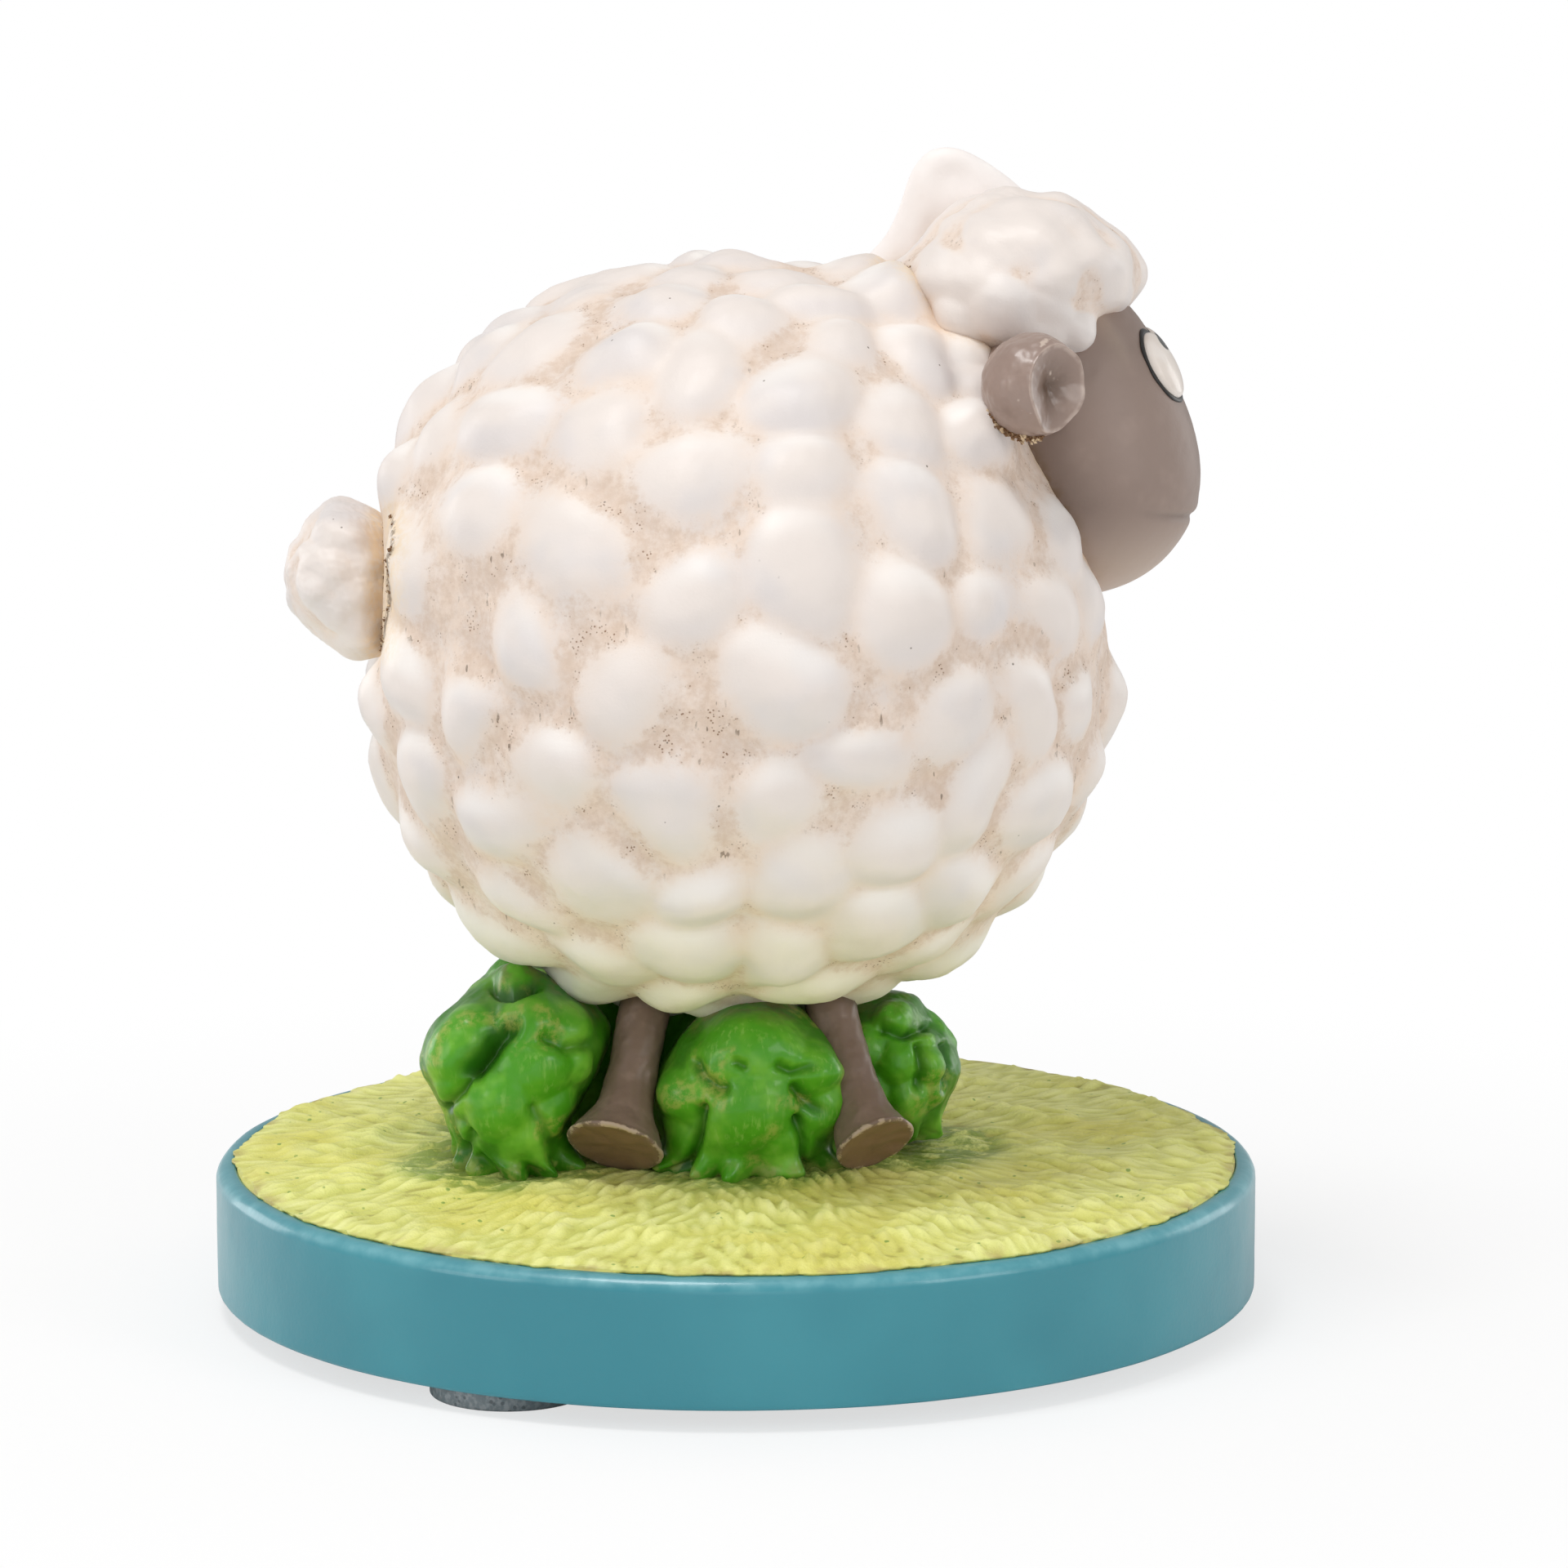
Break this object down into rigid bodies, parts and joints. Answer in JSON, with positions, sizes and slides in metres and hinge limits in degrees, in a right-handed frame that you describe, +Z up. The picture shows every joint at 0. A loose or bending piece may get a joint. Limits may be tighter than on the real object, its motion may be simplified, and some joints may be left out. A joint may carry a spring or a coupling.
{
  "type": "sheep figurine",
  "caption": "Painted resin sheep figurine: a round curly cream sheep sitting on green cabbages, on a round teal plinth with grass and stick-on pads.",
  "frame": {"origin": "centre of the plinth's footprint, on the surface that the pads stand on", "axes": "+Z up, +X the way the sheep faces, +Y its left side"},
  "size_m": [0.1, 0.1, 0.1105],
  "materials": {
    "plinth_teal": "satin paint on resin",
    "turf_green": "matt paint on resin",
    "pad_grey": "matt foam pad",
    "face_taupe": "satin paint on resin",
    "wool_cream": "satin paint on resin, brown wash",
    "eye_cream": "satin paint, dark outline",
    "leg_brown": "satin paint on resin",
    "steel_wire": "drawn wire",
    "leaf_green": "satin paint with yellow dry brush"
  },
  "bodies": {
    "root": {"plinth": "plinth_teal", "turf": "turf_green", "pad_front": "pad_grey", "pad_rear_left": "pad_grey", "pad_rear_right": "pad_grey", "head": "face_taupe", "crest_flap": "wool_cream", "topknot": "wool_cream", "tail": "wool_cream", "fleece_body": "wool_cream", "eye_right": "eye_cream", "eye_left": "eye_cream", "ear_right": "face_taupe", "ear_left": "face_taupe", "leg_rear_right": "leg_brown", "leg_rear_left": "leg_brown", "leg_front_right": "leg_brown", "leg_front_left": "leg_brown", "wire_rear_right": "steel_wire", "wire_rear_left": "steel_wire", "wire_front_right": "steel_wire", "wire_front_left": "steel_wire", "cabbage_rear_right": "leaf_green", "cabbage_middle_right": "leaf_green", "cabbage_front": "leaf_green", "cabbage_rear_left": "leaf_green", "cabbage_middle_left": "leaf_green"}
  },
  "joints": []
}
